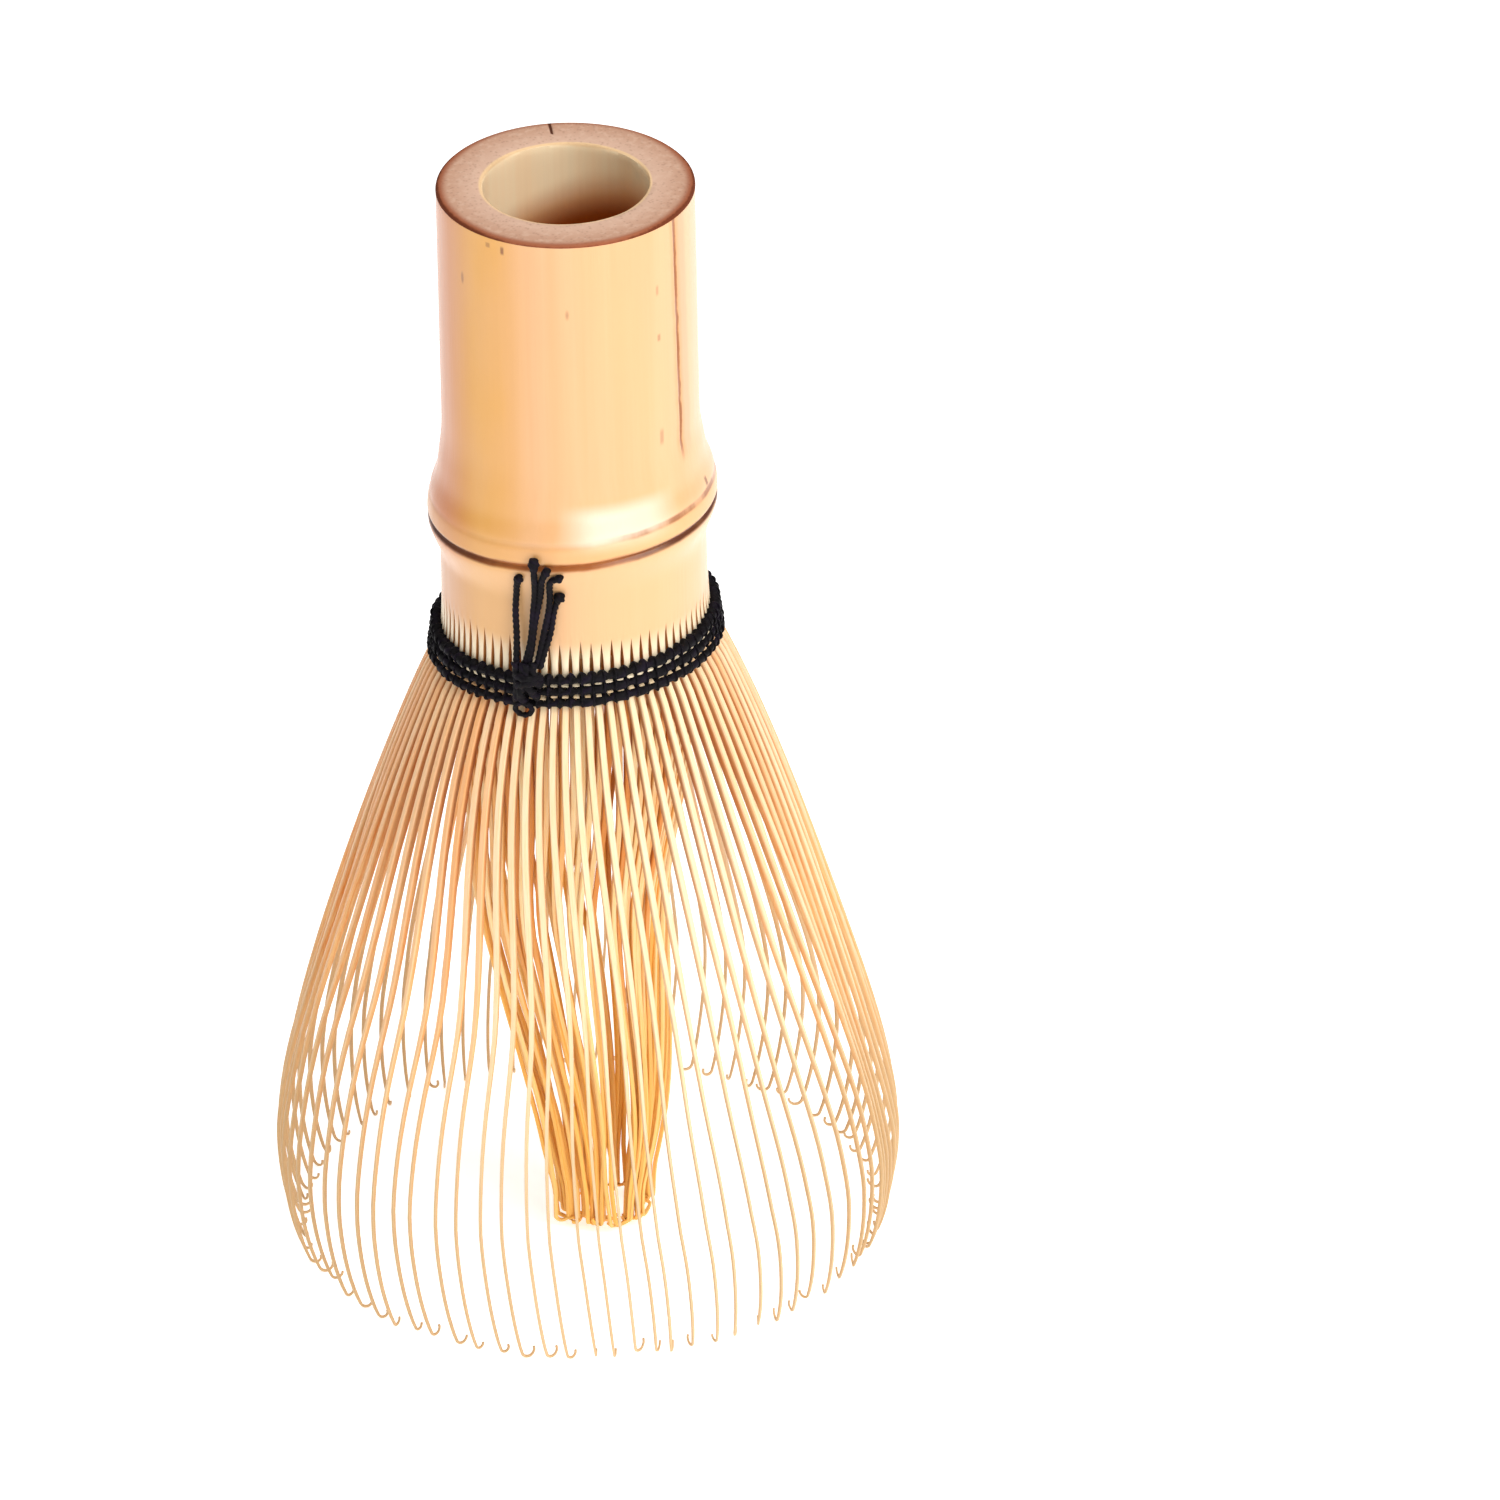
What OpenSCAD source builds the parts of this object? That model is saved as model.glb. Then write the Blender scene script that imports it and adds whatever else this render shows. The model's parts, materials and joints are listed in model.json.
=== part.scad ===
// Bamboo tea whisk: one culm, split below its node into outer and inner tines, bound with thread.
// The whisk stands on its tine tips, with the origin on its axis at the lowest point of the tips.
// Azimuths are degrees from +X towards +Y, and the knot is near -Y, the front.

/* [Handle] */
// Overall height, from the tine tips to the end of the handle
height = 110.4; // [109:0.2:116]
// Outside diameter of the handle
handle_d = 24.1; // [23:0.1:25]
// Diameter of the hollow in the handle
bore_d = 15.4; // [13:0.1:17]
// Height of the wall across the node, where the hollow ends
septum_top = 79.4; // [79:0.1:82]
// Thickness of the wall across the node
septum_t = 2.4; // [1.5:0.1:3]
// Bevel around the end of the handle
end_bevel = 0.3; // [0.1:0.1:0.6]

/* [Node and neck] */
// Height of the scar around the node
node_z = 77.2; // [76.6:0.1:78]
// Diameter over the ridge of the node
ridge_d = 27.2; // [26:0.1:28]
// Length over which the culm swells above the scar
swell_above = 10; // [7:0.5:12]
// Length over which the culm narrows below the scar
swell_below = 4.8; // [3:0.2:6]
// Depth of the groove along the scar
scar_depth = 0.35; // [0.1:0.05:0.6]
// Width of the groove along the scar
scar_w = 0.8; // [0.4:0.1:1.2]
// Diameter of the neck below the node
neck_d = 24.9; // [24.4:0.1:25.2]
// Diameter of the hollow below the node
neck_bore_d = 20.4; // [18:0.1:20.6]
// Height where the culm is split into tine roots
split_z = 68.2; // [67.6:0.1:69]

/* [Thread band] */
// Height of the middle round of thread
band_z = 63.95; // [63.6:0.05:64.4]
// Tilt of the band, lower at -X
band_tilt = 3.7; // [0:0.1:4]
// Diameter of the thread
thread_d = 1.04; // [0.8:0.02:1.06]
// Distance from one round of thread to the next
row_pitch = 1.12; // [1.08:0.01:1.2]
// Clearance between the thread and the tine roots
thread_gap = 0.12; // [0.1:0.01:0.2]
// Azimuth of the knot
knot_a = 251; // [240:1:300]
// Diameter of each loose thread end
tail_d = 0.5; // [0.3:0.05:0.6]

/* [Outer tines] */
// Number of outer groups, each a first split of the culm
outer_groups = 16; // [12:1:16]
// Tines in each outer group
outer_per_group = 5; // [3:1:5]
// Width of an outer tine
outer_w = 0.6; // [0.4:0.05:0.7]
// Thickness of an outer tine at its root
outer_root_t = 0.7; // [0.5:0.05:0.75]
// Thickness of an outer tine at its tip
outer_tip_t = 0.3; // [0.2:0.05:0.4]
// Radius of the cage at its widest
belly_r = 29.4; // [28.6:0.1:30]
// Height where the cage is widest
belly_z = 9.5; // [8.5:0.5:11]
// Radius of the hook at the end of an outer tine
hook_r = 1.5; // [1.2:0.1:1.6]
// Distance from the axis to the centre of the hooks
hook_centre = 26.4; // [26:0.1:26.8]

/* [Inner tines] */
// Number of inner groups, two first splits of the culm in each
inner_groups = 8; // [6:1:8]
// Tines in each inner group
inner_per_group = 10; // [6:1:10]
// Width of an inner tine at its root
inner_root_w = 0.5; // [0.3:0.05:0.55]
// Width of an inner tine at its tip
inner_tip_w = 0.22; // [0.15:0.01:0.24]
// Thickness of an inner tine at its root
inner_root_t = 0.6; // [0.4:0.05:0.65]
// Thickness of an inner tine at its tip
inner_tip_t = 0.26; // [0.2:0.02:0.3]
// Radius of the inner bundle near its tips
bundle_r = 4.5; // [4.4:0.1:5.5]
// Height of the tips of the inner bundle
bundle_z = 1.2; // [0.8:0.1:2]

/* [Hidden] */
function tag(i) = i < 10 ? str("0", i) : str(i);
OUTER_NAMES = [for (g = [1 : outer_groups]) str("outer_tines_", tag(g))];
INNER_NAMES = [for (g = [1 : inner_groups]) str("inner_tines_", tag(g))];
ROW_NAMES = [for (i = [1 : 3]) str("thread_round_", i)];
TAIL_NAMES = [for (i = [1 : 5]) str("thread_end_", i)];

skin_tone = "BurlyWood";
tine_tone = "Wheat";
core_tone = "SandyBrown";
thread_tone = "DarkSlateGray";

handle_r = handle_d / 2;
bore_r = bore_d / 2;
ridge_r = ridge_d / 2;
neck_r = neck_d / 2;
neck_bore_r = neck_bore_d / 2;
thread_r = thread_d / 2;
round_fn = 96;
swell_steps = 7;
outer_step = 360 / (outer_groups * outer_per_group);
inner_step = 360 / (inner_groups * inner_per_group);

// Gap between a tine root and the group of tines that flexes below it
flex_gap = 0.24;
// Outside radius of the tine roots under the lowest round of thread
root_r = 12.9;
// Depth from the middle round at which the roots have flared to root_r
root_flare = 1.12;
// Where an outer tine leaves the thread, below its hinge
exit_r = 14.1;
exit_drop = 1.9;
// Middle radius of the inner tine roots, at their hinges and at the split
inner_r = 11.0;
inner_top_r = 11.2;
// Taper of the hollow below the node, and the chamfer where it meets the wall
neck_draft = 0.6;
septum_chamfer = 1;
// Direction of the hook of an outer tine where it starts, seen from the hook's centre
hook_start_a = -24;
hook_steps = 3;

function mix(a, b, t) = a + (b - a) * t;
function unit(v) = v / norm(v);
function bezier(p0, p1, p2, p3, t) =
    let (s = 1 - t)
    s * s * s * p0 + 3 * s * s * t * p1 + 3 * s * t * t * p2 + t * t * t * p3;

// Height of the middle round at an azimuth
function band_height(a) = band_z + (root_r * tan(band_tilt)) * cos(a);
// Height of the hinge of the group at an azimuth, level with the lowest round
function hinge_height(a) = band_height(a) - row_pitch;
// Outside radius of the tine roots at a height above or below the middle round
function root_surface(h) =
    let (top = split_z - band_z, u = (top - h) / (top + root_flare))
    neck_r + (root_r - neck_r) * u * u;

// Bell-shaped step from 1 at u = 0 to 0 at u = 1
function bell(u) = pow(0.5 * (1 + cos(180 * u)), 1.3);
// Outside radius of the culm at a height, without the scar
function culm_r(z) =
    z > node_z
    ? handle_r + (ridge_r - handle_r) * bell(min(1, (z - node_z) / swell_above))
    : neck_r + (ridge_r - neck_r) * bell(min(1, (node_z - z) / swell_below));

// Repeats a child once for each tine of a group, centred on the group's azimuth
module each_tine(group_a, count, step) {
    for (i = [0 : count - 1]) {
        rotate([0, 0, group_a + (i - (count - 1) / 2) * step])
            children();
    }
}

// Closed solid through a list of rings that have the same number of points
module skin(rings) {
    m = len(rings[0]);
    n = len(rings);
    sides = [
        for (i = [0 : n - 2], j = [0 : m - 1])
            let (a = i * m + j, b = i * m + (j + 1) % m)
                each [[a, b, b + m], [a, b + m, a + m]]
    ];
    first = [for (j = [m - 1 : -1 : 0]) j];
    last = [for (j = [0 : m - 1]) (n - 1) * m + j];
    polyhedron([for (ring = rings) each ring], concat(sides, [first, last]), convexity = 6);
}

// Rings of a round strand along a list of points
function strand_rings(path, r, sides = 8) = [
    for (i = [0 : len(path) - 1])
        let (
            along = unit(path[min(i + 1, len(path) - 1)] - path[max(i - 1, 0)]),
            out = unit([path[i].x, path[i].y, 0]),
            across = unit(cross(along, out)),
            lift = cross(across, along)
        )
            [for (j = [0 : sides - 1])
                path[i] + r * (cos(360 * j / sides) * across + sin(360 * j / sides) * lift)]
];

// Handle, node and neck, one piece of bamboo with the handle's hollow and the wall inside the node
module culm() {
    scar_half = scar_w / 2;
    above = [for (i = [swell_steps : -1 : 1])
        let (z = node_z + scar_half + (swell_above - scar_half) * i / swell_steps) [culm_r(z), z]];
    below = [for (i = [0 : swell_steps])
        let (z = node_z - scar_half - (swell_below - scar_half) * i / swell_steps) [culm_r(z), z]];
    outside = concat(
        [[bore_r, height], [handle_r - end_bevel, height], [handle_r, height - end_bevel]],
        above,
        [[culm_r(node_z + scar_half), node_z + scar_half], [ridge_r - scar_depth, node_z]],
        below,
        [[neck_r, split_z]]);
    septum_low = septum_top - septum_t;
    inside = [
        [neck_bore_r, split_z],
        [neck_bore_r - neck_draft, septum_low - septum_chamfer],
        [neck_bore_r - neck_draft - septum_chamfer, septum_low],
        [0, septum_low],
        [0, septum_top],
        [bore_r, septum_top]
    ];
    color(skin_tone) rotate_extrude($fn = round_fn) polygon(concat(outside, inside));
}

// One outer tine root: a bar that runs from the split down behind the rounds of thread
module outer_root(low, base) {
    steps = 4;
    heights = [for (i = [0 : steps]) mix(split_z, low, i / steps)];
    front = [for (z = heights) [z == split_z ? neck_r : root_surface(z - base), z]];
    back = [for (i = [steps : -1 : 0]) front[i] - [outer_root_t, 0]];
    rotate([90, 0, 0]) linear_extrude(outer_w, center = true) polygon(concat(front, back));
}

module outer_tine_roots() {
    color(tine_tone)
        for (g = [0 : outer_groups - 1]) {
            a = g * 360 / outer_groups;
            each_tine(a, outer_per_group, outer_step)
                outer_root(hinge_height(a) + flex_gap / 2, band_height(a));
        }
}

// One inner tine root: a narrower bar behind the gap between two outer roots
module inner_root(low) {
    half = inner_root_t / 2;
    outline = [
        [inner_top_r + half, split_z],
        [inner_r + half, low],
        [inner_r - half, low],
        [inner_top_r - half, split_z]
    ];
    rotate([90, 0, 0]) linear_extrude(inner_root_w, center = true) polygon(outline);
}

module inner_tine_roots() {
    color(core_tone)
        for (g = [0 : inner_groups - 1]) {
            a = g * 360 / inner_groups;
            each_tine(a, inner_per_group, inner_step)
                inner_root(hinge_height(a) + flex_gap / 2);
        }
}

// Outline of an outer tine in its own radial plane, from the hinge to the end of the hook.
// Its lowest point is halfway along the hook, at height 0.
function outer_curve(top) =
    let (
        exit = [exit_r, top - exit_drop],
        shoulder = exit + [5.2, -11.3],
        belly = [belly_r, belly_z],
        above_belly = belly + [0, 9.2],
        below_belly = belly - [0, 3.6],
        hook_mid = [hook_centre, hook_r],
        hook_step = (-90 - hook_start_a) / hook_steps,
        hook_start = hook_mid + hook_r * [cos(hook_start_a), sin(hook_start_a)],
        above_hook = hook_start + 2.4 * [-sin(hook_start_a), cos(hook_start_a)],
        flare = [for (t = [0 : 0.125 : 0.999])
            bezier(exit, shoulder, above_belly, belly, t)],
        turn = [for (t = [0 : 0.25 : 0.999])
            bezier(belly, below_belly, above_hook, hook_start, t)],
        hook = [for (i = [0 : 2 * hook_steps])
            let (a = hook_start_a + i * hook_step)
                hook_mid + hook_r * [cos(a), sin(a)]]
    )
    concat(
        [[root_r, top], [root_r + 0.14, top - 0.5], [root_r + 0.6, top - 1.15]],
        flare, turn, hook);

// Normal of a curve at its point i, on the side of the axis
function inward(c, i) =
    let (d = unit(c[min(i + 1, len(c) - 1)] - c[max(i - 1, 0)])) [d.y, -d.x];

module outer_tine(top) {
    front = outer_curve(top);
    last = len(front) - 1;
    back = [for (i = [last : -1 : 0])
        let (t = mix(outer_root_t, outer_tip_t, pow(i / last, 0.6)))
            i == 0 ? front[0] - [outer_root_t, 0] : front[i] + t * inward(front, i)];
    rotate([90, 0, 0]) linear_extrude(outer_w, center = true) polygon(concat(front, back));
}

module outer_tines(g) {
    a = (g - 1) * 360 / outer_groups;
    color(tine_tone)
        each_tine(a, outer_per_group, outer_step)
            outer_tine(hinge_height(a) - flex_gap / 2);
}

// Middle line of an inner tine in its own radial plane
function inner_curve(top) =
    let (
        start = [inner_r, top],
        low = [bundle_r, bundle_z + 3.6],
        tip = [bundle_r - 0.1, bundle_z]
    )
    concat(
        [for (t = [0 : 0.16667 : 0.999])
            bezier(start, start - [0.05, 13.6], low + [2.7, 11.2], low, t)],
        [low, tip]);

module inner_tine(top) {
    line = inner_curve(top);
    last = len(line) - 1;
    rings = [for (i = [0 : last])
        let (
            n = i == 0 ? [1, 0] : -inward(line, i),
            w = mix(inner_root_w, inner_tip_w, i / last) / 2,
            t = mix(inner_root_t, inner_tip_t, i / last) / 2,
            p = line[i]
        )
            [for (k = [[1, 1], [1, -1], [-1, -1], [-1, 1]])
                [p.x + k.x * t * n.x, k.y * w, p.y + k.x * t * n.y]]
    ];
    skin(rings);
}

module inner_tines(g) {
    a = (g - 1) * 360 / inner_groups;
    color(core_tone)
        each_tine(a, inner_per_group, inner_step)
            inner_tine(hinge_height(a) - flex_gap / 2);
}

// One round of thread around the outer tine roots, counted from the bottom
module thread_round(i) {
    h = (i - 2) * row_pitch;
    ring_r = root_surface(h) + thread_gap + thread_r;
    color(thread_tone)
        translate([0, 0, band_z + h])
            rotate([0, -band_tilt, 0])
                rotate_extrude($fn = round_fn)
                    translate([ring_r, 0])
                        circle(thread_r, $fn = 24);
}

// Knot on the front of the band, with the small loop that hangs under it
module thread_knot() {
    out = root_surface(0) + thread_gap + thread_d;
    lump_r = 0.85;
    neck_lump_r = 0.68;
    neck_lump_z = 2.6;
    lump_z = 0.2;
    loop_r = 0.62;
    loop_thread_r = 0.3;
    loop_lean = 80;
    color(thread_tone)
        rotate([0, 0, knot_a])
            translate([out, 0, band_height(knot_a)]) {
                hull() {
                    translate([lump_r, 0, neck_lump_z]) sphere(neck_lump_r, $fn = 20);
                    translate([lump_r + 0.1, 0, lump_z]) sphere(lump_r, $fn = 20);
                }
                translate([0.95, 0, -1.35])
                    rotate([0, loop_lean, 0])
                        rotate_extrude($fn = 32)
                            translate([loop_r, 0])
                                circle(loop_thread_r, $fn = 16);
            }
}

// Loose ends: azimuth from the knot where each leaves, bends and stops, and its end height
TAIL_SPREAD = [
    [-5, -6.2, -4.6, 75.6],
    [-2.5, 0.6, 3.6, 78.2],
    [0, 3.2, 8.2, 77.6],
    [2.5, 7, 11.8, 77.2],
    [5, 9.6, 14.8, 73.9]
];
// Height above the band where the loose ends leave the knot
tail_rise = 2.9;
// Clearance between a loose end and the culm, at its end and, more, at the knot
tail_lift = 0.25;
tail_knot_lift = 0.9;

module thread_end(i) {
    spread = TAIL_SPREAD[i - 1];
    start_z = band_height(knot_a) + tail_rise;
    steps = 9;
    path = [for (k = [0 : steps])
        let (
            t = k / steps,
            z = mix(start_z, spread[3], t),
            turn = bezier(spread[0], spread[1], spread[1], spread[2], t),
            lift = tail_lift + tail_knot_lift * (1 - t) * (1 - t),
            r = culm_r(z) + tail_d / 2 + lift
        )
            [r * cos(knot_a + turn), r * sin(knot_a + turn), z]];
    color(thread_tone) skin(strand_rings(path, tail_d / 2));
}

culm();
outer_tine_roots();
inner_tine_roots();
thread_knot();
for (i = [0 : len(ROW_NAMES) - 1]) {
    thread_round(i + 1);
}
for (i = [0 : len(TAIL_NAMES) - 1]) {
    thread_end(i + 1);
}
for (i = [0 : len(OUTER_NAMES) - 1]) {
    outer_tines(i + 1);
}
for (i = [0 : len(INNER_NAMES) - 1]) {
    inner_tines(i + 1);
}
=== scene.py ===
import json
import math

import bmesh
import bpy
import numpy as np
from mathutils import Matrix, Vector


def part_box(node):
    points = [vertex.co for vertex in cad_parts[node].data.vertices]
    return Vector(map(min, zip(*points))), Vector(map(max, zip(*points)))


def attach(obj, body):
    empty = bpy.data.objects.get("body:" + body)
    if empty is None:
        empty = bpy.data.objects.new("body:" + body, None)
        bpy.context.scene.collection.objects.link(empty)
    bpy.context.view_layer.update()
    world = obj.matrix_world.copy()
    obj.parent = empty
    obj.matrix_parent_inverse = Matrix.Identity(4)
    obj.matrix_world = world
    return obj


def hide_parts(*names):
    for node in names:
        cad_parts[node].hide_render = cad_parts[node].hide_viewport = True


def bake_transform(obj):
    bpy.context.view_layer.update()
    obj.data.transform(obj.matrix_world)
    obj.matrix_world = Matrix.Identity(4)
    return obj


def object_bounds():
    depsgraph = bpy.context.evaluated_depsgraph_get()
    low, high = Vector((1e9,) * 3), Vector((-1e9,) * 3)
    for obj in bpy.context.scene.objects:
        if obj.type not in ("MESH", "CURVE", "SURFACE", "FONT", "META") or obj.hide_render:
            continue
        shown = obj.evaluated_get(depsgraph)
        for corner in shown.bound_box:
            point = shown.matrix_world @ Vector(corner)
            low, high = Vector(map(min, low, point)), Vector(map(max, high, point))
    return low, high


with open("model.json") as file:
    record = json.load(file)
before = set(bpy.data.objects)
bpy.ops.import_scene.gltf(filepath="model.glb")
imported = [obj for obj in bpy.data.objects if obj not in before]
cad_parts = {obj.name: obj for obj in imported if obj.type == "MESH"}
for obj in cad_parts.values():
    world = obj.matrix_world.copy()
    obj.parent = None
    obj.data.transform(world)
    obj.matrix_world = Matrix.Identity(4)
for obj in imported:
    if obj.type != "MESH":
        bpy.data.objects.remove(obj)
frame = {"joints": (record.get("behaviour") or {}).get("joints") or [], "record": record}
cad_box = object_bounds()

# Shapes are in millimetres and degrees; Mesher.piece() turns them into the frame's metres.
MM = 0.001

# ---- sizes taken from the frame

MOUNTS = {m["name"]: m for m in frame["record"]["mounts"]}
HINGES = {j["child"]: j for j in frame["joints"]}
HEIGHT = cad_box[1].z / MM
BELLY_R = cad_box[1].x / MM
RIDGE_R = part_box("culm")[1].x / MM
SPLIT_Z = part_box("culm")[0].z / MM
HANDLE_R = MOUNTS["handle_grip"]["dims"]["r_mm"]
BORE_R = MOUNTS["handle_socket"]["dims"]["r_mm"]
SEPTUM_TOP = HEIGHT - MOUNTS["handle_socket"]["dims"]["length_mm"]

# ---- sizes shared with the part's source

NODE_Z = 77.2
NECK_R = 12.45
NECK_BORE_R = 10.2
SEPTUM_LOW = 77.0
SWELL_ABOVE = 10.0
SWELL_BELOW = 4.8
END_BEVEL = 0.3
ROW_PITCH = 1.12
THREAD_R = 0.52
THREAD_GAP = 0.12
ROOT_R = 12.9
ROOT_FLARE = 1.12
SWELL_OUT = 0.72
KNOT_A = 251.0
TAIL_R = 0.25
FLEX_GAP = 0.24
TEETH = 80
TOOTH_STEP = 360.0 / TEETH
OUTER_GROUPS = 16
INNER_GROUPS = 8


def hinge_height(body):
    """Height of a fan's hinge."""
    return HINGES[body]["pos_m"][2] / MM


BAND_RISE = (hinge_height("outer_fan_01") - hinge_height("outer_fan_09")) / 2
BAND_Z = (hinge_height("outer_fan_01") + hinge_height("outer_fan_09")) / 2 + ROW_PITCH
BAND_SLOPE = BAND_RISE / ROOT_R


def cosd(a):
    return np.cos(np.radians(a))


def sind(a):
    return np.sin(np.radians(a))


def angle_from(middle, a):
    """How far azimuth a is from middle, from -180 to 180 degrees."""
    return (a - middle + 180) % 360 - 180


def smooth(t):
    """Smooth step from 0 at t = 0 to 1 at t = 1."""
    t = np.clip(t, 0.0, 1.0)
    return t * t * (3 - 2 * t)


def mix(a, b, t):
    return a + (b - a) * t


def unit(v):
    return v / np.linalg.norm(v, axis=-1, keepdims=True)


def bezier(p0, p1, p2, p3, count):
    """Points of a cubic curve, without its last one."""
    t = np.linspace(0, 1, count, endpoint=False)[:, None]
    s = 1 - t
    p0, p1, p2, p3 = (np.array(p, float) for p in (p0, p1, p2, p3))
    return s**3 * p0 + 3 * s * s * t * p1 + 3 * s * t * t * p2 + t**3 * p3


def polar(r, a, z):
    """Points at radius r, azimuth a and height z."""
    r, a, z = np.broadcast_arrays(r, a, z)
    return np.stack([r * cosd(a), r * sind(a), z], axis=-1)


def band_height(a):
    """Height of the middle round of thread."""
    return BAND_Z + BAND_RISE * cosd(a)


def root_surface(h):
    """Outside radius of the tine roots at a height h above the middle round."""
    top = SPLIT_Z - BAND_Z
    u = (top - h) / (top + ROOT_FLARE)
    return NECK_R + (ROOT_R - NECK_R) * u * np.abs(u)


def between_rounds(h):
    """How far a tine swells between two rounds of thread, at a height h above the middle one."""
    return SWELL_OUT * np.exp(-(((np.abs(h) - ROW_PITCH / 2) / 0.23) ** 2))


def bell(u):
    return (0.5 * (1 + np.cos(np.pi * np.clip(u, 0, 1)))) ** 1.3


def culm_r(z):
    """Outside radius of the culm, without its scars."""
    above = HANDLE_R + (RIDGE_R - HANDLE_R) * bell((z - NODE_Z) / SWELL_ABOVE)
    below = NECK_R + (RIDGE_R - NECK_R) * bell((NODE_Z - z) / SWELL_BELOW)
    return np.where(z > NODE_Z, above, below)


# ---- mesh helpers


class Mesher:
    """Collects the vertices, faces and vertex values of one piece."""

    def __init__(self):
        self.points = []
        self.faces = []
        self.slots = []
        self.values = {}
        self.count = 0

    def add(self, points, **values):
        """Adds vertices with their values, and returns the index of the first one."""
        first = self.count
        points = np.asarray(points, float).reshape(-1, 3)
        self.points.append(points)
        self.count += len(points)
        for name, value in values.items():
            value = np.asarray(value, float)
            value = value.reshape(-1, 3) if name == "grain" else value.reshape(-1)
            self.values.setdefault(name, []).append(value)
        return first

    def face(self, corners, slot=0):
        self.faces.append([int(c) for c in corners])
        self.slots.append(slot)

    def quads(self, grid, slot=0):
        """Quads between neighbouring rows and columns of a grid of vertex indices."""
        a, b = grid[:-1, :-1], grid[:-1, 1:]
        c, d = grid[1:, 1:], grid[1:, :-1]
        found = np.stack([a, b, c, d], axis=-1).reshape(-1, 4).tolist()
        self.faces.extend(found)
        self.slots.extend([slot] * len(found))

    def tube(self, rings, closed=False, **values):
        """A skin over rings, an array of rings x sides x 3. Both ends are filled unless it is closed."""
        n, m = rings.shape[:2]
        first = self.add(rings, **values)
        grid = first + np.arange(n * m).reshape(n, m)
        grid = np.concatenate([grid, grid[:, :1]], axis=1)
        if closed:
            grid = np.concatenate([grid, grid[:1]], axis=0)
        self.quads(grid)
        if not closed:
            self.face(grid[0, -2::-1])
            self.face(grid[-1, :-1])

    def piece(self, name, materials, crease=42):
        """The finished object, in the frame's metres. Edges sharper than crease degrees stay hard."""
        mesh = bpy.data.meshes.new(name)
        points = np.concatenate(self.points) * MM
        mesh.from_pydata(points.tolist(), [], self.faces)
        mesh.polygons.foreach_set("material_index", self.slots)
        work = bmesh.new()
        work.from_mesh(mesh)
        bmesh.ops.recalc_face_normals(work, faces=work.faces)
        work.to_mesh(mesh)
        work.free()
        for key, chunks in self.values.items():
            value = np.concatenate(chunks).astype(np.float32)
            kind = "FLOAT_VECTOR" if value.ndim == 2 else "FLOAT"
            field = mesh.attributes.new(key, kind, "POINT")
            field.data.foreach_set("vector" if value.ndim == 2 else "value", value.ravel())
        mesh.shade_smooth()
        mesh.set_sharp_from_angle(angle=math.radians(crease))
        for material in materials:
            mesh.materials.append(material)
        made = bpy.data.objects.new(name, mesh)
        bpy.context.scene.collection.objects.link(made)
        return made


# ---- material helpers


def seen(r, g, b):
    """A colour named by its screen values, as the linear colour that a shader takes."""
    parts = [c / 255 for c in (r, g, b)]
    return [c / 12.92 if c <= 0.04045 else ((c + 0.055) / 1.055) ** 2.4 for c in parts] + [1.0]


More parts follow.
